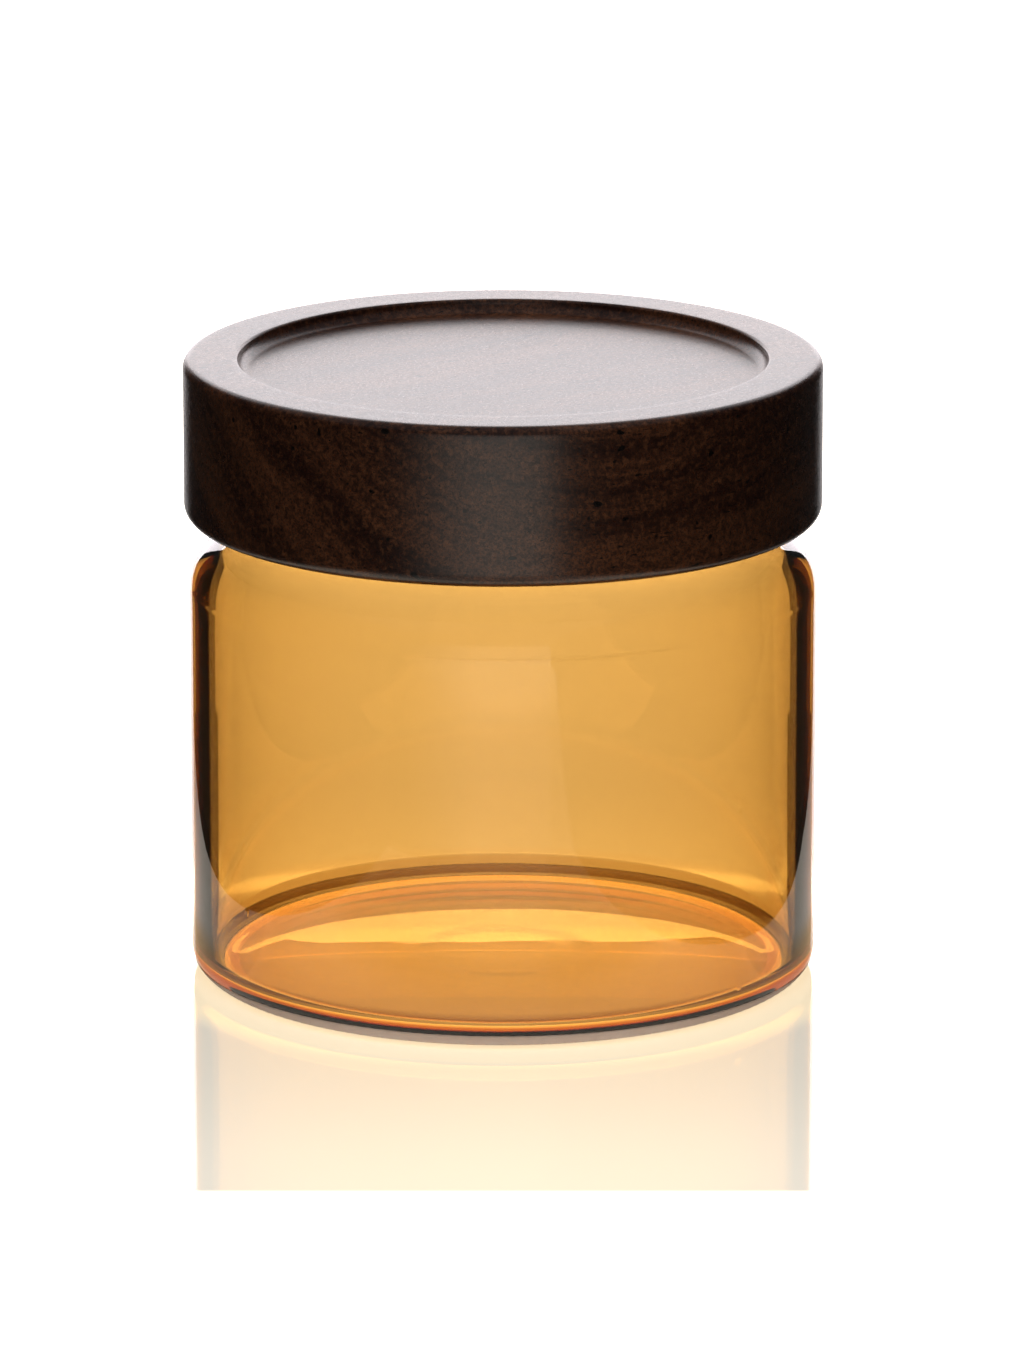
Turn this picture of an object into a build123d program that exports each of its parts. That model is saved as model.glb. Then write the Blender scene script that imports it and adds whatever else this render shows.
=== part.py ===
"""Apothecary storage jar: an amber glass jar, a turned hardwood lid and the silicone ring that seals them.

Millimetres, +Z up. The origin is the centre of the base, on the surface that the jar stands on.
Every piece is a body of revolution about Z, in the place it has when the jar is closed.
"""

from build123d import *
import math
import os

os.makedirs("parts", exist_ok=True)

# ---------------------------------------------------------------- driving dimensions
lid_diameter = 100.0
jar_diameter = 98.5
total_height = 98.5

# glass jar
glass_wall = 3.0
shoulder_start_height = 61.5
shoulder_radius = 8.4
shoulder_sweep = 60.0
inside_shoulder_start_height = 61.0
inside_shoulder_radius = 7.4
neck_set_in = 8.9
neck_foot_radius = 0.5
heel_radius = 4.0
floor_height = 2.4
floor_corner_radius = 3.0
bearing_ring_width = 3.2
punt_rise = 1.0

# wooden lid
lid_bottom_height = 73.3
lid_top_edge_radius = 1.5
lid_bottom_edge_radius = 2.3
dish_diameter = 82.8
dish_depth = 2.2
dish_cove_radius = 1.8
dish_rim_radius = 0.5
plug_edge_chamfer = 0.8

# fit of the lid on the neck
neck_engagement = 7.2
skirt_clearance = 0.8
plug_clearance = 0.8
seat_gap = 0.05

# silicone seal ring, let into the plug
seal_depth = 2.5
seal_height = 4.3
seal_height_in_neck = 1.7
seal_fit_gap = 0.05
seal_body_inset = 0.4
fin_count = 3
fin_pitch = 1.4
fin_thickness = 0.7

# ---------------------------------------------------------------- sizes that follow from them
jar_radius = jar_diameter / 2
neck_radius = jar_radius - neck_set_in
bore_radius = neck_radius - glass_wall
inside_radius = jar_radius - glass_wall
shoulder_slope = 1 / math.tan(math.radians(shoulder_sweep))
neck_rim_height = lid_bottom_height + neck_engagement
bearing_ring_outer_radius = jar_radius - heel_radius
bearing_ring_inner_radius = bearing_ring_outer_radius - bearing_ring_width

lid_radius = lid_diameter / 2
lid_thickness = total_height - lid_bottom_height
dish_radius = dish_diameter / 2
dish_floor_height = total_height - dish_depth
dish_floor_radius = dish_radius - dish_cove_radius
plug_radius = bore_radius - plug_clearance
neck_groove_radius = neck_radius + skirt_clearance
neck_groove_depth = neck_engagement + seat_gap

seal_seat_radius = plug_radius - seal_depth
seal_groove_height = lid_bottom_height + seal_height_in_neck
seal_inner_radius = seal_seat_radius + seal_fit_gap
seal_body_radius = plug_radius - seal_body_inset
seal_tip_radius = bore_radius - seal_fit_gap
seal_middle_height = seal_groove_height + seal_height / 2


# ---------------------------------------------------------------- glass jar
# One closed outline of the wall, from the middle of the punt round the outside, over the fire-polished
# rim and back down the inside to the middle of the floor.
with BuildPart() as jar:
    with BuildSketch(Plane.XZ) as wall:
        with BuildLine():
            punt = TangentArc(
                (0, punt_rise),
                (bearing_ring_inner_radius, 0),
                tangent=(1, 0),
            )
            bearing_ring = Line(punt @ 1, (bearing_ring_outer_radius, 0))
            heel = JernArc(start=bearing_ring @ 1, tangent=(1, 0), radius=heel_radius, arc_size=90)
            side = Line(heel @ 1, (jar_radius, shoulder_start_height))
            shoulder = JernArc(
                start=side @ 1,
                tangent=(0, 1),
                radius=shoulder_radius,
                arc_size=shoulder_sweep,
            )
            slope_end = shoulder @ 1
            slope_rise = (slope_end.X - neck_radius) * shoulder_slope
            slope = Line(slope_end, (neck_radius, slope_end.Y + slope_rise))
            neck = Line(slope @ 1, (neck_radius, neck_rim_height - glass_wall / 2))
            rim = JernArc(start=neck @ 1, tangent=(0, 1), radius=glass_wall / 2, arc_size=180)
            inside_shoulder = JernArc(
                start=(inside_radius, inside_shoulder_start_height),
                tangent=(0, 1),
                radius=inside_shoulder_radius,
                arc_size=shoulder_sweep,
            )
            inside_slope_end = inside_shoulder @ 1
            inside_rise = (inside_slope_end.X - bore_radius) * shoulder_slope
            inside_slope = Line(inside_slope_end, (bore_radius, inside_slope_end.Y + inside_rise))
            Line(rim @ 1, inside_slope @ 1)
            inside = Line(
                inside_shoulder @ 0,
                (inside_radius, floor_height + floor_corner_radius),
            )
            floor_corner = JernArc(
                start=inside @ 1,
                tangent=(0, -1),
                radius=floor_corner_radius,
                arc_size=-90,
            )
            floor = Line(floor_corner @ 1, (0, floor_height))
            Line(floor @ 1, punt @ 0)
        make_face()
        foot_corner = wall.vertices().sort_by_distance(slope @ 1)[0]
        bore_corner = wall.vertices().sort_by_distance(inside_slope @ 1)[0]
        fillet([foot_corner, bore_corner], radius=neck_foot_radius)
    revolve(axis=Axis.Z)

# ---------------------------------------------------------------- wooden lid
with BuildPart() as lid:
    # the turned disc, with its top and bottom edges rounded over
    with BuildSketch(Plane.XY.offset(lid_bottom_height)):
        Circle(lid_radius)
    extrude(amount=lid_thickness)
    fillet(lid.faces().sort_by(Axis.Z)[-1].edges(), radius=lid_top_edge_radius)
    fillet(lid.faces().sort_by(Axis.Z)[0].edges(), radius=lid_bottom_edge_radius)

    # ring groove in the underside for the glass neck; what is left inside it is the plug
    with BuildSketch(Plane.XY.offset(lid_bottom_height)):
        Circle(neck_groove_radius)
        Circle(plug_radius, mode=Mode.SUBTRACT)
    extrude(amount=neck_groove_depth, mode=Mode.SUBTRACT)
    plug_face = lid.faces().filter_by(Plane.XY).group_by(Axis.Z)[0].sort_by(SortBy.AREA)[-1]
    chamfer(plug_face.edges(), length=plug_edge_chamfer)

    # groove round the plug that holds the seal ring
    with BuildSketch(Plane.XY.offset(seal_groove_height)):
        Circle(plug_radius + plug_clearance)
        Circle(seal_seat_radius, mode=Mode.SUBTRACT)
    extrude(amount=seal_height, mode=Mode.SUBTRACT)

    # dished top: a flat floor with a small cove under its upright edge
    with BuildSketch(Plane.XZ):
        with BuildLine():
            dish_floor = Line((0, dish_floor_height), (dish_floor_radius, dish_floor_height))
            cove = JernArc(start=dish_floor @ 1, tangent=(1, 0), radius=dish_cove_radius, arc_size=90)
            Polyline(cove @ 1, (dish_radius, total_height), (0, total_height), dish_floor @ 0)
        make_face()
    revolve(axis=Axis.Z, mode=Mode.SUBTRACT)
    top_rim = lid.faces().filter_by(Plane.XY).sort_by(Axis.Z)[-1]
    fillet(top_rim.edges().sort_by(SortBy.LENGTH)[0], radius=dish_rim_radius)

# ---------------------------------------------------------------- silicone seal ring
with BuildPart() as seal_ring:
    with BuildSketch(Plane.XZ):
        body_width = seal_body_radius - seal_inner_radius
        with Locations((seal_inner_radius + body_width / 2, seal_middle_height)):
            Rectangle(body_width, seal_height - 2 * seal_fit_gap)
        # round-tipped fins, each rooted in the body and reaching almost to the neck's bore
        fin_length = 2 * (seal_tip_radius - seal_body_radius)
        with Locations((seal_body_radius, seal_middle_height)):
            with GridLocations(0, fin_pitch, 1, fin_count):
                SlotOverall(fin_length, fin_thickness)
    revolve(axis=Axis.Z)

# ---------------------------------------------------------------- files
jar.part.label = "jar"
export_step(jar.part, "parts/jar.step")

lid.part.label = "lid"
export_step(lid.part, "parts/lid.step")

seal_ring.part.label = "seal_ring"
export_step(seal_ring.part, "parts/seal_ring.step")
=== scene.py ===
"""Looks for the apothecary jar: amber glass, a dark turned wooden lid and a silicone seal ring.

Metres, +Z up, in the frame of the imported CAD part. Each visible piece is a mesh of revolution about Z.
"""

import math

import bpy
import numpy as np
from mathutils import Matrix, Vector


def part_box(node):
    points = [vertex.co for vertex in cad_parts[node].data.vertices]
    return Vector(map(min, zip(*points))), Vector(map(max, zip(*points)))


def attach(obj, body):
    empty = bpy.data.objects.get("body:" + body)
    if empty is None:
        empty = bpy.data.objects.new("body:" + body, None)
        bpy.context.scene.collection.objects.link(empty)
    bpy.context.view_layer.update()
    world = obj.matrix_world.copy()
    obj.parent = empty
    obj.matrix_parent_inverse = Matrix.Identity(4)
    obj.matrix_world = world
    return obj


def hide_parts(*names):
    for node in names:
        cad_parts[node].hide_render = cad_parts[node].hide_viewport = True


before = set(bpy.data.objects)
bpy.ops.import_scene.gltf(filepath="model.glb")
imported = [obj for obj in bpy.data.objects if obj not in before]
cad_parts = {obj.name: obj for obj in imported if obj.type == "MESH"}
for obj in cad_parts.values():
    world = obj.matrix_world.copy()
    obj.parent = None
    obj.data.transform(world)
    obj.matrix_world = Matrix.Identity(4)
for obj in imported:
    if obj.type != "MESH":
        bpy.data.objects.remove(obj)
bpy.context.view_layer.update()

MM = 0.001

# ---------------------------------------------------------------- sizes read from the frame
jar_low, jar_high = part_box("jar")
lid_low, lid_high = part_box("lid")
seal_low, seal_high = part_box("seal_ring")

JAR_RADIUS = (jar_high.x - jar_low.x) / 2
RIM_HEIGHT = jar_high.z
LID_RADIUS = (lid_high.x - lid_low.x) / 2
LID_BOTTOM = lid_low.z
LID_TOP = lid_high.z
SEAL_RADIUS = (seal_high.x - seal_low.x) / 2

# glass, as the CAD part has it; the ease makes its shoulder a little fuller
WALL = 3.0 * MM
SHOULDER_START = 61.5 * MM
SHOULDER_RADIUS = 8.4 * MM
SHOULDER_SWEEP = 60
SHOULDER_EASE = 2.2
INSIDE_SHOULDER_START = 61.0 * MM
INSIDE_SHOULDER_RADIUS = 7.4 * MM
NECK_SET_IN = 8.9 * MM
HEEL_RADIUS = 4.0 * MM
FLOOR_HEIGHT = 2.4 * MM
FLOOR_CORNER = 3.0 * MM
BEARING_WIDTH = 3.2 * MM
PUNT_RISE = 1.0 * MM
NECK_RADIUS = JAR_RADIUS - NECK_SET_IN
BORE_RADIUS = NECK_RADIUS - WALL
BEARING_OUTER = JAR_RADIUS - HEEL_RADIUS
BEARING_INNER = BEARING_OUTER - BEARING_WIDTH

# lid, as the CAD part has it
TOP_EDGE = 1.5 * MM
BOTTOM_EDGE = 2.3 * MM
DISH_RADIUS = 41.4 * MM
DISH_DEPTH = 2.2 * MM
COVE_RADIUS = 1.8 * MM
DISH_RIM_EDGE = 0.5 * MM
SKIRT_CLEARANCE = 0.8 * MM
PLUG_CLEARANCE = 0.8 * MM
SEAT_GAP = 0.05 * MM
PLUG_CHAMFER = 0.8 * MM
SEAL_DEPTH = 2.5 * MM
SEAL_FIT_GAP = 0.05 * MM
SEAL_BODY_INSET = 0.4 * MM
SEAL_EDGE_RADIUS = 0.15 * MM
FIN_COUNT = 3
FIN_PITCH = 1.4 * MM
FIN_THICKNESS = 0.7 * MM
PLUG_RADIUS = BORE_RADIUS - PLUG_CLEARANCE
NECK_GROOVE_RADIUS = NECK_RADIUS + SKIRT_CLEARANCE
NECK_GROOVE_TOP = RIM_HEIGHT + SEAT_GAP
SEAL_SEAT_RADIUS = PLUG_RADIUS - SEAL_DEPTH


# ---------------------------------------------------------------- outlines and meshes of revolution
def arc(r, z, radius, start, end, steps):
    """Points on an arc about (r, z), from start to end degrees, both ends in."""
    angles = np.radians(np.linspace(start, end, steps + 1))
    return np.column_stack((r + radius * np.cos(angles), z + radius * np.sin(angles)))


def eased_arc(r, z, radius, end, steps):
    """From level with the centre up to end degrees, like an arc but easing out of the upright wall, so that
    no line shows where the curve starts."""
    angles = np.radians(np.linspace(0, end, steps + 1))
    ease = 2 / SHOULDER_EASE
    return np.column_stack((r + radius * np.cos(angles) ** ease, z + radius * np.sin(angles) ** ease))


def line(r0, z0, r1, z1, steps):
    """Points on a straight stretch of outline, both ends in."""
    t = np.linspace(0, 1, steps + 1)
    return np.column_stack((r0 + (r1 - r0) * t, z0 + (z1 - z0) * t))


def joined(*stretches):
    """One outline from stretches laid end to end, with repeated points dropped."""
    points = np.vstack(stretches)
    gaps = np.linalg.norm(np.diff(points, axis=0), axis=1)
    return points[np.concatenate(([True], gaps > 1e-7))]


def revolved(name, outline, steps, warp=None):
    """A mesh of revolution. An outline that starts and ends on the axis gets a pole at each end; one that
    never touches it is closed into a ring. warp(theta, r, z) may move each point a little."""
    on_axis = outline[0, 0] < 1e-9
    rows = outline[1:-1] if on_axis else outline
    theta = np.linspace(0, 2 * math.pi, steps, endpoint=False)[None, :]
    r = np.repeat(rows[:, :1], steps, axis=1)
    z = np.repeat(rows[:, 1:], steps, axis=1)
    if warp:
        r, z = warp(theta + 0 * r, r, z)
    points = np.stack((r * np.cos(theta), r * np.sin(theta), z), axis=-1).reshape(-1, 3)
    count = len(rows)
    row = np.arange(count - 1 if on_axis else count)[:, None]
    column = np.arange(steps)[None, :]
    after = (column + 1) % steps
    above = (row + 1) % count
    quads = np.stack(
        (row * steps + column, row * steps + after, above * steps + after, above * steps + column),
        axis=-1,
    ).reshape(-1, 4)
    faces = [tuple(q) for q in quads.tolist()]
    vertices = points.tolist()
    if on_axis:
        first, last = len(vertices), len(vertices) + 1
        vertices += [(0, 0, outline[0, 1]), (0, 0, outline[-1, 1])]
        top = (count - 1) * steps
        for i in range(steps):
            j = (i + 1) % steps
            faces.append((first, j, i))
            faces.append((last, top + i, top + j))
    mesh = bpy.data.meshes.new(name)
    mesh.from_pydata(vertices, [], faces)
    mesh.validate()
    mesh.shade_smooth()
    piece = bpy.data.objects.new(name, mesh)
    bpy.context.scene.collection.objects.link(piece)
    return piece


def smoothstep(low, high, value):
    t = np.clip((value - low) / (high - low), 0, 1)
    return t * t * (3 - 2 * t)


# ---------------------------------------------------------------- glass jar
DIMPLE_RADIUS = 15 * MM
DIMPLE_EDGE = 4 * MM
DIMPLE_RISE = 0.06 * MM
LEAD_IN = 3 * MM
NECK_LEAD = 1 * MM
SOFTENING_PASSES = 40
SWAY = 0.03 * MM
SECOND_SWAY = 0.01 * MM
JAR_STEPS = 512
BAND_STEPS = 1120
KNURL_COUNT = 140
KNURL_DEPTH = 0.06 * MM
KNURL_SLANT = 1500
BAND_GAP = 0.01 * MM
BAND_SKIN = 0.04 * MM
BAND_LOW = 62
BAND_HIGH = 24


def softened(outline):
    """The same stretch of outline with its kinks eased, both end points kept."""
    points = outline.copy()
    for _ in range(SOFTENING_PASSES):
        points[1:-1] = (points[:-2] + 2 * points[1:-1] + points[2:]) / 4
    return points


def slope_down_to(r, edge):
    """The straight cone that leaves the last point of a shoulder arc at its own slope, down to radius r."""
    (r0, z0), (r1, z1) = edge[-2:]
    return line(r1, z1, r, z1 + (r1 - r) * (z1 - z0) / (r0 - r1), 16)


def shoulder_run(wall_radius, start, curve, slope, neck_radius):
    """A shoulder with a little of the straight wall below it and of the neck above it."""
    foot = slope[-1, 1]
    return joined(
        line(wall_radius, start - LEAD_IN, wall_radius, start, 12),
        curve,
        slope,
        line(neck_radius, foot, neck_radius, foot + NECK_LEAD, 4),
    )


def jar_outline():
    """The wall's closed outline, from the middle of the punt round the outside to the middle of the floor."""
    under = line(0, 0, BEARING_INNER, 0, 40)
    share = under[:, 0] / BEARING_INNER
    under[:, 1] = PUNT_RISE * (1 - share**2)
    under[:, 1] += DIMPLE_RISE * (1 - smoothstep(DIMPLE_RADIUS - DIMPLE_EDGE, DIMPLE_RADIUS, under[:, 0]))
    inside = JAR_RADIUS - WALL
    rim_centre = RIM_HEIGHT - WALL / 2
    corner = JAR_RADIUS - SHOULDER_RADIUS
    outer = eased_arc(corner, SHOULDER_START, SHOULDER_RADIUS, SHOULDER_SWEEP, 32)
    inner_corner = inside - INSIDE_SHOULDER_RADIUS
    inner = eased_arc(inner_corner, INSIDE_SHOULDER_START, INSIDE_SHOULDER_RADIUS, SHOULDER_SWEEP, 32)
    outside_slope = slope_down_to(NECK_RADIUS, outer)
    inside_slope = slope_down_to(BORE_RADIUS, inner)
    shoulder = shoulder_run(JAR_RADIUS, SHOULDER_START, outer, outside_slope, NECK_RADIUS)
    inside_shoulder = shoulder_run(inside, INSIDE_SHOULDER_START, inner, inside_slope, BORE_RADIUS)
    return joined(
        under,
        line(BEARING_INNER, 0, BEARING_OUTER, 0, 3),
        arc(BEARING_OUTER, HEEL_RADIUS, HEEL_RADIUS, -90, 0, 16),
        line(JAR_RADIUS, HEEL_RADIUS, JAR_RADIUS, SHOULDER_START - LEAD_IN, 14),
        softened(shoulder),
        arc(NECK_RADIUS - WALL / 2, rim_centre, WALL / 2, 0, 180, 12),
        softened(inside_shoulder)[::-1],
        line(inside, INSIDE_SHOULDER_START - LEAD_IN, inside, FLOOR_HEIGHT + FLOOR_CORNER, 14),
        arc(inside - FLOOR_CORNER, FLOOR_HEIGHT + FLOOR_CORNER, FLOOR_CORNER, 0, -90, 12),
        line(inside - FLOOR_CORNER, FLOOR_HEIGHT, 0, FLOOR_HEIGHT, 20),
    )


def glass_warp(theta, r, z):
    """Blown glass is never quite round: the inside wanders a little."""
    inside = (r < JAR_RADIUS - 0.6 * WALL) & (z > FLOOR_HEIGHT + 0.5 * MM) & (z < SHOULDER_START)
    sway = SWAY * np.sin(2 * theta + 0.8 + 8 * z) + SECOND_SWAY * np.sin(5 * theta - 20 * z)
    return r + np.where(inside, sway, 0), z


def make_jar():
    jar = revolved("jar_glass", jar_outline(), JAR_STEPS, glass_warp)
    jar.data.materials.append(amber_glass())
    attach(jar, "jar")
    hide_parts("jar")


def knurl(theta, r, z):
    """Small slanting teeth round the ground band."""
    tooth = np.maximum(0, np.sin(KNURL_COUNT * theta + KNURL_SLANT * z))
    return r + KNURL_DEPTH * tooth, z


def make_ground_band():
    """The knurled, ground band round the heel, as a thin skin on the glass."""
    skin = HEEL_RADIUS + BAND_SKIN
    outside = arc(BEARING_OUTER, HEEL_RADIUS, skin, -BAND_LOW, -BAND_HIGH, 8)
    inside = arc(BEARING_OUTER, HEEL_RADIUS, HEEL_RADIUS + BAND_GAP, -BAND_HIGH, -BAND_LOW, 8)
    band = revolved("jar_ground_band", joined(outside, inside), BAND_STEPS, knurl)
    band.data.materials.append(ground_glass())
    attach(band, "jar")


# ---------------------------------------------------------------- wooden lid
LID_STEPS = 512
LID_SHARP_ANGLE = math.radians(35)


def lid_outline():
    """From the middle of the dish over the rim, down the side and back along the underside to the axis."""
    dish_floor = LID_TOP - DISH_DEPTH
    floor_radius = DISH_RADIUS - COVE_RADIUS
    rim_edge = DISH_RADIUS + DISH_RIM_EDGE
    seal_groove_low = seal_low.z - SEAL_FIT_GAP
    seal_groove_high = seal_high.z + SEAL_FIT_GAP
    side = LID_RADIUS
    return joined(
        line(0, dish_floor, floor_radius, dish_floor, 30),
        arc(floor_radius, dish_floor + COVE_RADIUS, COVE_RADIUS, -90, 0, 14),
        arc(rim_edge, LID_TOP - DISH_RIM_EDGE, DISH_RIM_EDGE, 180, 90, 8),
        line(rim_edge, LID_TOP, side - TOP_EDGE, LID_TOP, 8),
        arc(side - TOP_EDGE, LID_TOP - TOP_EDGE, TOP_EDGE, 90, 0, 12),
        line(side, LID_TOP - TOP_EDGE, side, LID_BOTTOM + BOTTOM_EDGE, 24),
        arc(side - BOTTOM_EDGE, LID_BOTTOM + BOTTOM_EDGE, BOTTOM_EDGE, 0, -90, 12),
        line(side - BOTTOM_EDGE, LID_BOTTOM, NECK_GROOVE_RADIUS, LID_BOTTOM, 4),
        line(NECK_GROOVE_RADIUS, LID_BOTTOM, NECK_GROOVE_RADIUS, NECK_GROOVE_TOP, 4),
        line(NECK_GROOVE_RADIUS, NECK_GROOVE_TOP, PLUG_RADIUS, NECK_GROOVE_TOP, 3),
        line(PLUG_RADIUS, NECK_GROOVE_TOP, PLUG_RADIUS, seal_groove_high, 1),
        line(PLUG_RADIUS, seal_groove_high, SEAL_SEAT_RADIUS, seal_groove_high, 2),
        line(SEAL_SEAT_RADIUS, seal_groove_high, SEAL_SEAT_RADIUS, seal_groove_low, 3),
        line(SEAL_SEAT_RADIUS, seal_groove_low, PLUG_RADIUS, seal_groove_low, 2),
        line(PLUG_RADIUS, seal_groove_low, PLUG_RADIUS, LID_BOTTOM + PLUG_CHAMFER, 1),
        line(PLUG_RADIUS, LID_BOTTOM + PLUG_CHAMFER, PLUG_RADIUS - PLUG_CHAMFER, LID_BOTTOM, 2),
        line(PLUG_RADIUS - PLUG_CHAMFER, LID_BOTTOM, 0, LID_BOTTOM, 20),
    )


def make_lid():
    outline = lid_outline()[::-1]
    lid = revolved("lid_wood", outline, LID_STEPS)
    lid.data.set_sharp_from_angle(angle=LID_SHARP_ANGLE)
    lid.data.materials.append(dark_wood())
    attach(lid, "lid")
    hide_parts("lid")


# ---------------------------------------------------------------- seal ring
SEAL_STEPS = 320
SEAL_SHARP_ANGLE = math.radians(50)


def seal_outline():
    """A square-edged body with round-tipped fins standing out from it, as one closed section."""
    inner = SEAL_SEAT_RADIUS + SEAL_FIT_GAP
    body = PLUG_RADIUS - SEAL_BODY_INSET
    edge = SEAL_EDGE_RADIUS
    middle = (seal_low.z + seal_high.z) / 2
    tip = SEAL_RADIUS - FIN_THICKNESS / 2
    fins = []
    for i in range(FIN_COUNT):
        height = middle + (i - (FIN_COUNT - 1) / 2) * FIN_PITCH
        low, high = height - FIN_THICKNESS / 2, height + FIN_THICKNESS / 2
        fins.append(line(body, low, tip, low, 2))
        fins.append(arc(tip, height, FIN_THICKNESS / 2, -90, 90, 8))
        fins.append(line(tip, high, body, high, 2))
    return joined(
        arc(inner + edge, seal_low.z + edge, edge, 180, 270, 4),
        arc(body - edge, seal_low.z + edge, edge, 270, 360, 4),
        *fins,
        arc(body - edge, seal_high.z - edge, edge, 0, 90, 4),
        arc(inner + edge, seal_high.z - edge, edge, 90, 180, 4),
    )


def make_seal():
    seal = revolved("seal_silicone", seal_outline(), SEAL_STEPS)
    seal.data.set_sharp_from_angle(angle=SEAL_SHARP_ANGLE)
    seal.data.materials.append(silicone())
    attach(seal, "seal_ring")
    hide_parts("seal_ring")


# ---------------------------------------------------------------- material nodes
class Graph:
    """A short way to build a node material. An input may be a plain value or another node's output."""

    def __init__(self, name):
        self.material = bpy.data.materials.new(name)
        self.material.use_nodes = True
        self.tree = self.material.node_tree
        self.tree.nodes.clear()
        self.out = self.tree.nodes.new("ShaderNodeOutputMaterial")

    def node(self, kind, inputs=None, **settings):
        made = self.tree.nodes.new(kind)
        for key, value in settings.items():
            setattr(made, key, value)
        for key, value in (inputs or {}).items():
            self.feed(made.inputs[key], value)
        return made

    def feed(self, socket, value):
        if isinstance(value, bpy.types.NodeSocket):
            self.tree.links.new(value, socket)
        else:
            socket.default_value = value

    def math(self, operation, a, b=0.0):
        return self.node("ShaderNodeMath", {0: a, 1: b}, operation=operation).outputs[0]

    def noise(self, vector, scale, detail=2.0, roughness=0.5):
        made = self.node(
            "ShaderNodeTexNoise",
            {"Vector": vector, "Scale": scale, "Detail": detail, "Roughness": roughness},
        )
        return made.outputs["Fac"]

    def stretched(self, vector, scale):
        """The same coordinates, scaled on each axis, so that a noise is drawn out along one of them."""
        return self.node("ShaderNodeMapping", {"Vector": vector, "Scale": scale}).outputs[0]

    def span(self, value, low, high, to_low=0.0, to_high=1.0):
        made = self.node(
            "ShaderNodeMapRange",
            {"Value": value, "From Min": low, "From Max": high, "To Min": to_low, "To Max": to_high},
            interpolation_type="SMOOTHSTEP",
        )
        return made.outputs["Result"]

    def mix(self, share, a, b):
        made = self.node("ShaderNodeMix", {"Factor": share}, data_type="RGBA")
        self.feed(made.inputs[6], a)
        self.feed(made.inputs[7], b)
        return made.outputs[2]

    def mixed(self, share, a, b):
        """The same for plain numbers."""
        return self.node("ShaderNodeMix", {"Factor": share, 2: a, 3: b}, data_type="FLOAT").outputs[0]

    def bump(self, height, strength, distance):
        made = self.node(
            "ShaderNodeBump",
            {"Height": height, "Strength": strength, "Distance": distance},
        )
        return made.outputs["Normal"]

    def surface(self, **inputs):
        shader = self.node("ShaderNodeBsdfPrincipled")
        for key, value in inputs.items():
            self.feed(shader.inputs[key.replace("_", " ")], value)
        self.tree.links.new(shader.outputs[0], self.out.inputs["Surface"])
        return shader


# ---------------------------------------------------------------- materials
GLASS_IOR = 1.5
ABSORBED_PER_METRE = (64.0, 159.0, 400.0)
FOOT_LOW = 1.5 * MM
FOOT_HIGH = 2.2 * MM
FOOT_EDGE = 0.4 * MM
FOOT_ROUGHNESS = 0.55
RIPPLE_HEIGHT = 0.008
SEED_HEIGHT = 0.28
GLASS_BUMP = 0.2 * MM


def amber_glass():
    """Clear amber glass: its colour is in its depth. It has faint ripples, seeds and finger marks, and a
    ground foot."""
    g = Graph("amber_glass")
    place = g.node("ShaderNodeTexCoord").outputs["Object"]
    apart = g.node("ShaderNodeSeparateXYZ", {"Vector": place}).outputs
    flat = g.node("ShaderNodeCombineXYZ", {"X": apart["X"], "Y": apart["Y"]}).outputs[0]
    radius = g.node("ShaderNodeVectorMath", {0: flat}, operation="LENGTH").outputs["Value"]
    smudge = g.noise(place, 60, 4)
    low = g.span(apart["Z"], FOOT_LOW, FOOT_HIGH, 1, 0)
    foot = g.math("MULTIPLY", low, g.span(radius, BEARING_OUTER, BEARING_OUTER + FOOT_EDGE))
    polish = g.span(smudge, 0.5, 0.8, 0.0, 0.03)
    ripple = g.noise(g.stretched(place, (1, 1, 0.35)), 90, 1)
    seeds = g.node("ShaderNodeTexVoronoi", {"Vector": g.stretched(place, (1, 1, 0.7)), "Scale": 75.0})
    pick = g.node("ShaderNodeSeparateColor", {"Color": seeds.outputs["Color"]}).outputs[0]
    spot = g.span(seeds.outputs["Distance"], 0.02, 0.07, 1, 0)
    seed = g.math("MULTIPLY", spot, g.span(pick, 0.72, 0.74))
    height = g.math("ADD", g.math("MULTIPLY", ripple, RIPPLE_HEIGHT), g.math("MULTIPLY", seed, SEED_HEIGHT))
    g.surface(
        Base_Color=(1, 1, 1, 1),
        Roughness=g.math("MAXIMUM", polish, g.math("MULTIPLY", foot, FOOT_ROUGHNESS)),
        IOR=GLASS_IOR,
        Transmission_Weight=1.0,
        Normal=g.bump(height, 1.0, GLASS_BUMP),
    )
    density = max(ABSORBED_PER_METRE)
    passed = [1 - a / density for a in ABSORBED_PER_METRE]
    volume = g.node("ShaderNodeVolumeAbsorption", {"Color": (*passed, 1), "Density": density})
    g.tree.links.new(volume.outputs[0], g.out.inputs["Volume"])
    return g.material


FROST_DULL = (0.93, 0.84, 0.80, 1)
FROST_BRIGHT = (1.0, 0.95, 0.93, 1)
FROST_PASSED = 0.72
FROST_BUMP = 0.03 * MM


def ground_glass():
    """Glass ground to a white, faintly pink frost."""
    g = Graph("ground_glass")
    place = g.node("ShaderNodeTexCoord").outputs["Object"]
    grit = g.noise(place, 3200, 2, 0.7)
    patch = g.noise(place, 240, 2)
    frost = g.mix(patch, FROST_DULL, FROST_BRIGHT)
    facing = g.bump(grit, 0.3, FROST_BUMP)
    ground = g.surface(
        Base_Color=frost,
        Roughness=g.span(grit, 0.3, 0.7, 0.5, 0.75),
        IOR=GLASS_IOR,
        Normal=facing,
    )
    passing = g.node("ShaderNodeBsdfTranslucent", {"Color": frost, "Normal": facing})
    both = g.node("ShaderNodeMixShader", {0: FROST_PASSED, 1: ground.outputs[0], 2: passing.outputs[0]})
    g.tree.links.new(both.outputs[0], g.out.inputs["Surface"])
    return g.material


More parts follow.
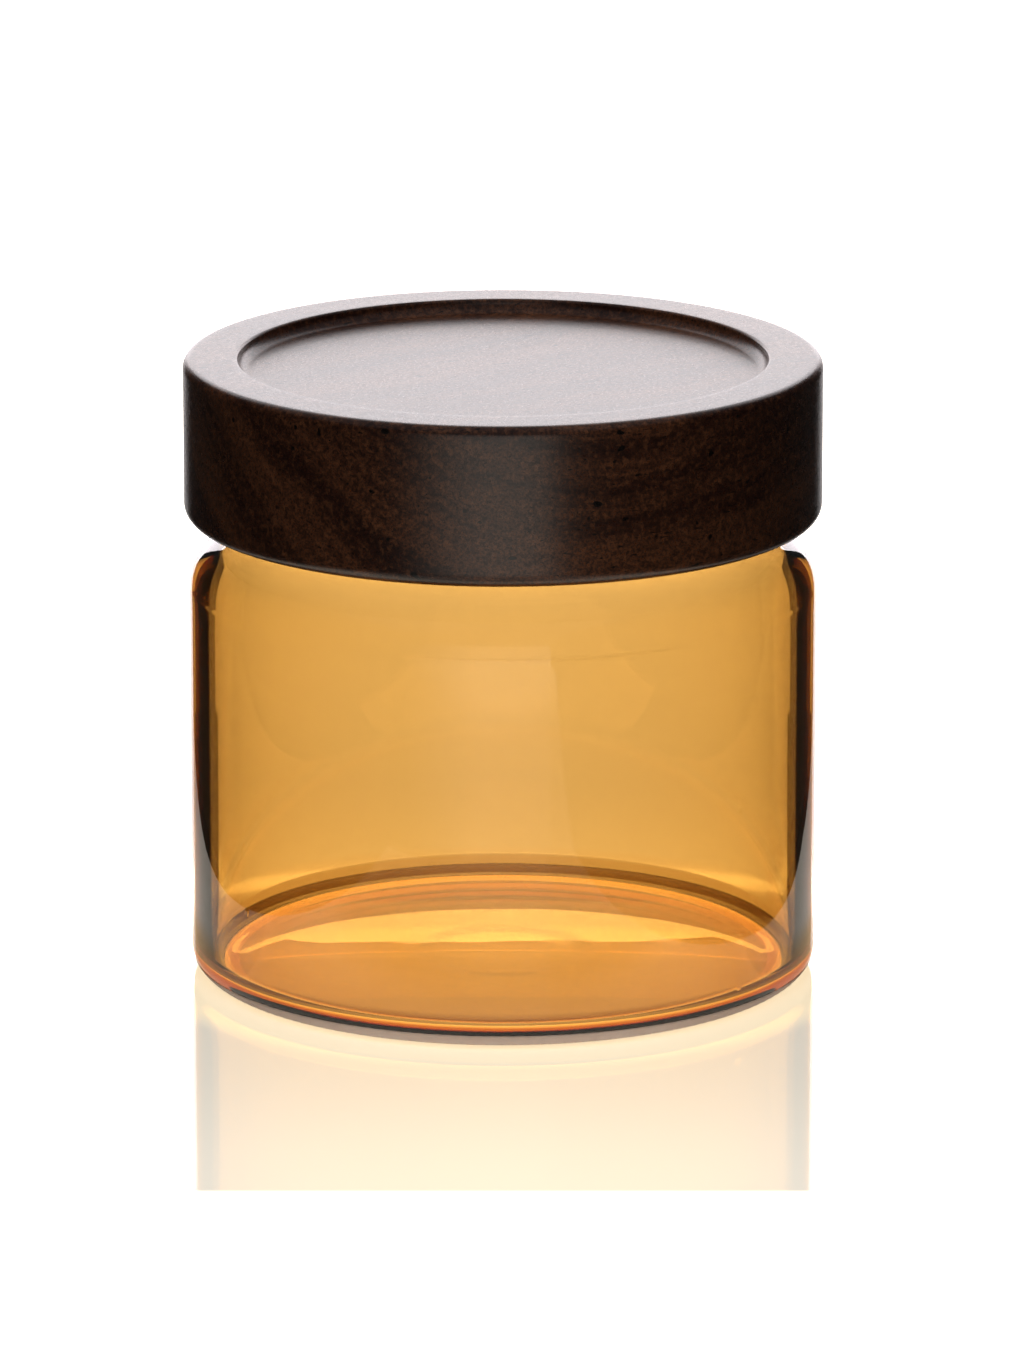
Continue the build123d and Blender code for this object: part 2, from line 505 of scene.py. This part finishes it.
RING_TILT = math.radians(34)
GRAIN_TURN = math.radians(35)
WANDER = 18 * MM
RING_DARK = (0.030, 0.0095, 0.0070, 1)
RING_WARM = (0.200, 0.076, 0.034, 1)
FIBRE_BROWN = (0.090, 0.032, 0.016, 1)
SPECKLE_DARK = (0.010, 0.0035, 0.0025, 1)
MOTTLE_WARM = (0.260, 0.105, 0.045, 1)
PORE_BLACK = (0.004, 0.002, 0.0015, 1)
WOOD_BUMP = 0.05 * MM


def dark_wood():
    """Dark stained hardwood. The fibres lie level, turned GRAIN_TURN from X, and the growth rings lie in
    planes tilted about them."""
    g = Graph("dark_wood")
    place = g.node("ShaderNodeTexCoord").outputs["Object"]
    turned = g.node("ShaderNodeMapping", {"Vector": place, "Rotation": (0, 0, -GRAIN_TURN)}).outputs[0]
    tilted = g.node("ShaderNodeMapping", {"Vector": turned, "Rotation": (-RING_TILT, 0, 0)}).outputs[0]
    wander = g.node("ShaderNodeTexNoise", {"Vector": place, "Scale": 22.0, "Detail": 2.0}).outputs["Color"]
    shifted = g.node("ShaderNodeVectorMath", {0: wander, 1: (0.5, 0.5, 0.5)}, operation="SUBTRACT").outputs[0]
    shift = g.node("ShaderNodeVectorMath", {0: shifted, 3: WANDER}, operation="SCALE").outputs[0]
    wavy = g.node("ShaderNodeVectorMath", {0: tilted, 1: shift}, operation="ADD").outputs[0]
    bands = g.noise(g.stretched(wavy, (9, 20, 150)), 1.0, 4, 0.6)
    lines = g.noise(g.stretched(wavy, (14, 50, 800)), 1.0, 3, 0.6)
    fibres = g.noise(g.stretched(turned, (70, 1700, 1700)), 1.0, 3, 0.6)
    pores = g.noise(g.stretched(turned, (260, 2400, 2400)), 1.0, 1)
    speckle = g.noise(place, 2200, 2, 0.7)
    mottle = g.noise(place, 1050, 3, 0.7)
    pits = g.noise(g.stretched(place, (420, 760, 760)), 1.0, 0)
    ring = g.math("ADD", g.math("MULTIPLY", bands, 0.72), g.math("MULTIPLY", lines, 0.28))
    tone = g.math("ADD", g.math("MULTIPLY", ring, 0.8), g.math("MULTIPLY", mottle, 0.2))
    colour = g.mix(g.span(tone, 0.38, 0.64), RING_DARK, RING_WARM)
    colour = g.mix(g.span(fibres, 0.35, 0.7, 0.0, 0.4), colour, FIBRE_BROWN)
    colour = g.mix(g.span(speckle, 0.38, 0.62, 0.0, 0.75), colour, SPECKLE_DARK)
    colour = g.mix(g.span(mottle, 0.48, 0.70, 0.0, 0.32), colour, MOTTLE_WARM)
    hole = g.math("MAXIMUM", g.span(pores, 0.68, 0.75), g.span(pits, 0.79, 0.82))
    colour = g.mix(hole, colour, PORE_BLACK)
    grain = g.math("ADD", g.math("MULTIPLY", fibres, 0.12), g.math("MULTIPLY", speckle, 0.40))
    g.surface(
        Base_Color=colour,
        Roughness=g.span(speckle, 0.2, 0.8, 0.26, 0.33),
        IOR=1.55,
        Normal=g.bump(g.math("SUBTRACT", grain, hole), 0.15, WOOD_BUMP),
    )
    return g.material


SILICONE_DULL = (0.80, 0.78, 0.73, 1)
SILICONE_BRIGHT = (0.88, 0.87, 0.83, 1)
SILICONE_BUMP = 0.03 * MM


def silicone():
    """Milky, slightly rubbery silicone."""
    g = Graph("clear_silicone")
    place = g.node("ShaderNodeTexCoord").outputs["Object"]
    cloud = g.noise(place, 220, 3)
    fine = g.noise(place, 2600, 2)
    g.surface(
        Base_Color=g.mix(cloud, SILICONE_DULL, SILICONE_BRIGHT),
        Roughness=g.span(fine, 0.3, 0.7, 0.38, 0.5),
        IOR=1.41,
        Transmission_Weight=0.45,
        Normal=g.bump(fine, 0.2, SILICONE_BUMP),
    )
    return g.material


# ---------------------------------------------------------------- studio
CAMERA_DISTANCE = 1.481
CAMERA_ELEVATION = math.radians(14.6)
TARGET_HEIGHT = 46.2 * MM
LENS = 248.9
SENSOR_WIDTH = 36
SHIFT = 0.0051
CLIP_END = 20


def make_camera():
    camera = bpy.data.objects.new("camera", bpy.data.cameras.new("camera"))
    bpy.context.scene.collection.objects.link(camera)
    back = Vector((0, -math.cos(CAMERA_ELEVATION), math.sin(CAMERA_ELEVATION)))
    camera.location = Vector((0, 0, TARGET_HEIGHT)) + back * CAMERA_DISTANCE
    camera.rotation_euler = (math.pi / 2 - CAMERA_ELEVATION, 0, 0)
    camera.data.sensor_width = SENSOR_WIDTH
    camera.data.lens = LENS
    camera.data.shift_x = SHIFT
    camera.data.clip_end = CLIP_END
    bpy.context.scene.camera = camera
    return camera


def emitting(name, colour, strength):
    g = Graph(name)
    shader = g.node("ShaderNodeEmission", {"Color": (*colour, 1), "Strength": strength})
    g.tree.links.new(shader.outputs[0], g.out.inputs["Surface"])
    return g.material


def plain(name, colour, roughness):
    g = Graph(name)
    g.surface(Base_Color=(*colour, 1), Roughness=roughness)
    return g.material


def staged(name, corners, material, rig):
    """A flat polygon that belongs to the studio and turns with its rig."""
    mesh = bpy.data.meshes.new(name)
    mesh.from_pydata(corners, [], [tuple(range(len(corners)))])
    mesh.materials.append(material)
    panel = bpy.data.objects.new(name, mesh)
    bpy.context.scene.collection.objects.link(panel)
    panel.parent = rig
    return panel


def upright(name, start, end, low, high, material, rig):
    """A panel that stands over the line from start to end, from height low to high."""
    (x0, y0), (x1, y1) = start, end
    corners = [(x0, y0, low), (x1, y1, low), (x1, y1, high), (x0, y0, high)]
    return staged(name, corners, material, rig)


def card(name, start, end, material, rig):
    """A card standing on the floor, which shows only in the glass and the reflections."""
    upright(name, start, end, 0, CARD_HEIGHT, material, rig).visible_camera = False


def mat(name, side, material, rig):
    """A black mat lying on the table, which only what is seen through the glass shows. side is -1 or 1."""
    laid = staged(name, [(side * x, y, MAT_HEIGHT) for x, y in MAT_OUTLINE], material, rig)
    laid.visible_camera = False
    laid.visible_diffuse = False
    laid.visible_glossy = False
    laid.visible_shadow = False


# the sheet's painted glow: its colours from the middle of the jar's foot outwards, the amber ones painted
# light from the glass
FOOT_LIT = (0.36, 0.15, 0.01, 1)
BACK_LIT = (0.47, 0.335, 0.16, 1)
NEAR_LIT = (1.1, 0.78, 0.42, 1)
CONTACT_LIT = (1.17, 0.97, 0.64, 1)
OPEN_LIT = (1.16, 1.05, 0.85, 1)
WHITE = (0.85, 0.85, 0.85, 1)
NEAR_PAINTED_AMBER = (0.85, 0.68, 0.46, 1)
UNDER_EDGE = (43 * MM, 46 * MM)
UNDER_BACK = (18 * MM, 42 * MM)
NEAR_EDGE = (58 * MM, 72 * MM)
NEAR_BACK = (-25 * MM, 0.0)
CONTACT_EDGE = (54 * MM, 60 * MM)
CONTACT_LIFT = 0.2
BEHIND = (20 * MM, 120 * MM)
FRONT = (-50 * MM, -30 * MM)
AHEAD = (-90 * MM, -60 * MM)
FAR_AHEAD = (-270 * MM, -230 * MM)
MIRROR_HALF_WIDTH = 49.4 * MM
MIRROR_SIDE_BLUR = 0.8 * MM
MIRROR_END = -119 * MM
MIRROR_END_BLUR = 1 * MM
PAST_BLUR = 5 * MM
BURNT = 0.7


def floor_white():
    """Glossy white acrylic sheet that glows a little, as if lit from below; the glow is painted light. Under
    the jar, and behind it in what is seen through the glass, it is painted amber light from the glass. In
    front, a painted glow burns the sheet out to white round the jar's own mirror image."""
    g = Graph("floor_white")
    place = g.node("ShaderNodeTexCoord").outputs["Object"]
    apart = g.node("ShaderNodeSeparateXYZ", {"Vector": place}).outputs
    along = apart["Y"]
    aside = g.math("ABSOLUTE", apart["X"])
    away = g.node("ShaderNodeVectorMath", {0: place}, operation="LENGTH").outputs["Value"]
    seen = g.node("ShaderNodeLightPath").outputs["Is Camera Ray"]
    under = g.span(away, *UNDER_EDGE, 1.0, 0.0)

    # for other rays the glow is painted in patches ahead of and behind the jar: painted pools of light that
    # the glass and lid reflect
    behind = g.span(along, *BEHIND, 0.5, 0.12)
    ahead = g.math("ADD", g.span(along, *FAR_AHEAD, 0.5, 0.0), g.span(along, *AHEAD, 0.15, 0.7))
    front = g.span(along, *FRONT, 1.0, 0.0)
    # for camera rays, a painted glow burns the sheet out to white round the jar's mirror image
    beside = g.span(aside, MIRROR_HALF_WIDTH, MIRROR_HALF_WIDTH + MIRROR_SIDE_BLUR)
    beyond = g.span(along, MIRROR_END - MIRROR_END_BLUR, MIRROR_END, 1.0, 0.0)
    past = g.span(along, 0.0, PAST_BLUR)
    outside = g.math("MAXIMUM", g.math("MAXIMUM", beside, beyond), past)
    burnt = g.math("MULTIPLY", outside, BURNT)
    # painted brighter glow round the jar's foot, for camera rays only
    painted_contact_glow = g.math("MULTIPLY", g.span(away, *CONTACT_EDGE, 1.0, 0.0), seen)
    fading = g.span(along, MIRROR_END, FRONT[0], 0.56, 0.47)
    lifted = g.math("ADD", fading, g.math("MULTIPLY", painted_contact_glow, CONTACT_LIFT))
    lit = g.mixed(seen, g.mixed(front, behind, ahead), g.math("ADD", burnt, lifted))
    strength = g.mixed(under, lit, 1.0)

    # painted amber pool under the jar, standing in for light passed through the glass
    painted_amber_pool = g.mix(g.span(along, *UNDER_BACK), FOOT_LIT, BACK_LIT)
    unseen = g.math("SUBTRACT", 1.0, seen)
    # near the jar, for rays that are not the camera's, the sheet's colour and glow are painted amber light
    # from the glass
    painted_amber_near = g.math("MULTIPLY", g.span(away, *NEAR_EDGE, 1.0, 0.0), unseen)
    painted_amber_near = g.math("MULTIPLY", painted_amber_near, g.span(along, *NEAR_BACK))
    shader = g.surface(Base_Color=g.mix(painted_amber_near, WHITE, NEAR_PAINTED_AMBER), Roughness=0.03, IOR=1.55)
    open_lit = g.mix(painted_contact_glow, g.mix(painted_amber_near, OPEN_LIT, NEAR_LIT), CONTACT_LIT)
    g.feed(shader.inputs["Emission Color"], g.mix(under, open_lit, painted_amber_pool))
    g.feed(shader.inputs["Emission Strength"], strength)
    return g.material


BLACK = (0.01, 0.01, 0.01)


def graded_card(start, end):
    """Black gauze that is clear at x = start and solid at x = end."""
    g = Graph("graded_card")
    place = g.node("ShaderNodeTexCoord").outputs["Object"]
    across = g.node("ShaderNodeSeparateXYZ", {"Vector": place}).outputs["X"]
    clear = g.node("ShaderNodeBsdfTransparent").outputs[0]
    black = g.node("ShaderNodeBsdfDiffuse", {"Color": (*BLACK, 1)}).outputs[0]
    shade = g.node("ShaderNodeMixShader", {0: g.span(across, start, end), 1: clear, 2: black})
    g.tree.links.new(shade.outputs[0], g.out.inputs["Surface"])
    return g.material


# positions on the table seen from above, in front of the camera: X to the right, Y away from it
FLOOR_RADIUS = 3.5
FLOOR_INNER_RADIUS = 0.5
FLOOR_THICKNESS = 10 * MM
FLOOR_STEPS = 96
FLOOR_SHARP_ANGLE = math.radians(30)
BACKDROP_LEFT = (-1.5, 2.2)
BACKDROP_RIGHT = (1.5, 2.2)
BACKDROP_BANDS = (
    ("backdrop", 0, 0.625, (1, 0.93, 0.96), 3.1),
    ("backdrop_strip", 0.625, 0.64, (1, 0.98, 0.96), 7.0),
    ("backdrop_upper", 0.64, 1.15, (1, 0.97, 1), 2.3),
    ("backdrop_top", 1.15, 2.6, (1, 0.97, 1), 0.9),
)
PANEL_LEFT = (-0.5, -0.6)
PANEL_RIGHT = (0.3, -0.6)
PANEL_HEIGHT = 0.22
CARD_HEIGHT = 0.16
CARD_ASIDE = 96 * MM
CARD_BACK = 145 * MM
BLACK_CARDS = (
    ("card_left", (-CARD_ASIDE, -130 * MM), (-CARD_ASIDE, CARD_BACK)),
    ("card_right", (CARD_ASIDE, 60 * MM), (CARD_ASIDE, CARD_BACK)),
    ("card_corner", (61 * MM, -151 * MM), (CARD_ASIDE, 60 * MM)),
    ("card_front", (61 * MM, -151 * MM), (103 * MM, -360 * MM)),
)
GAUZE_CLEAR_END = (-10 * MM, -165 * MM)
GAUZE_SOLID_END = (-CARD_ASIDE, -130 * MM)
GAUZE_SOLID_FROM = -90 * MM
MAT_HEIGHT = 0.4 * MM
MAT_FRONT = -20 * MM
MAT_BACK = 147 * MM
MAT_OUTLINE = (
    (48 * MM, MAT_FRONT),
    (48 * MM, 0),
    (90.9 * MM, MAT_BACK),
    (CARD_ASIDE, MAT_BACK),
    (CARD_ASIDE, MAT_FRONT),
)
SOFTBOX_SIZE = 1.4
SOFTBOX_ENERGY = 4.5
SOFTBOX_PLACE = (0, 0.1, 0.9)
WORLD_GREY = (0.12, 0.12, 0.125, 1)


def make_rig(camera):
    """The studio turns with the camera, so that every view has the same light."""
    rig = bpy.data.objects.new("rig", None)
    bpy.context.scene.collection.objects.link(rig)
    follow = rig.constraints.new("COPY_ROTATION")
    follow.target = camera
    follow.use_x = False
    follow.use_y = False
    return rig


def make_floor(rig):
    outline = [
        (0, 0),
        (FLOOR_INNER_RADIUS, 0),
        (FLOOR_RADIUS, 0),
        (FLOOR_RADIUS, -FLOOR_THICKNESS),
        (0, -FLOOR_THICKNESS),
    ]
    floor = revolved("floor", np.array(outline), FLOOR_STEPS)
    floor.data.set_sharp_from_angle(angle=FLOOR_SHARP_ANGLE)
    floor.data.materials.append(floor_white())
    floor.parent = rig


def make_panels(rig):
    """A bright backdrop in bands, a dim panel in front, and black cards and mats that edge the glass."""
    for name, low, high, colour, strength in BACKDROP_BANDS:
        upright(name, BACKDROP_LEFT, BACKDROP_RIGHT, low, high, emitting(name, colour, strength), rig)
    dim = emitting("front_panel", (1, 0.96, 0.93), 0.7)
    upright("front_panel", PANEL_LEFT, PANEL_RIGHT, 0, PANEL_HEIGHT, dim, rig).visible_camera = False
    black = plain("black_card", BLACK, 0.9)
    for name, start, end in BLACK_CARDS:
        card(name, start, end, black, rig)
    mat("mat_left", -1, black, rig)
    mat("mat_right", 1, black, rig)
    gauze = graded_card(GAUZE_CLEAR_END[0], GAUZE_SOLID_FROM)
    card("card_graded", GAUZE_CLEAR_END, GAUZE_SOLID_END, gauze, rig)


def make_softbox(rig):
    softbox = bpy.data.objects.new("softbox", bpy.data.lights.new("softbox", "AREA"))
    softbox.data.size = SOFTBOX_SIZE
    softbox.data.energy = SOFTBOX_ENERGY
    softbox.location = SOFTBOX_PLACE
    softbox.parent = rig
    softbox.visible_glossy = False
    softbox.visible_transmission = False
    bpy.context.scene.collection.objects.link(softbox)


def make_world():
    world = bpy.data.worlds.new("world")
    world.use_nodes = True
    world.node_tree.nodes["Background"].inputs["Color"].default_value = WORLD_GREY
    bpy.context.scene.world = world


def make_studio():
    rig = make_rig(make_camera())
    make_floor(rig)
    make_panels(rig)
    make_softbox(rig)
    make_world()


def set_view():
    scene = bpy.context.scene
    scene.view_settings.view_transform = "Standard"
    scene.cycles.use_denoising = True
    scene.cycles.max_bounces = 24
    scene.cycles.transmission_bounces = 20
    scene.cycles.glossy_bounces = 12


make_jar()
make_ground_band()
make_lid()
make_seal()
make_studio()
set_view()
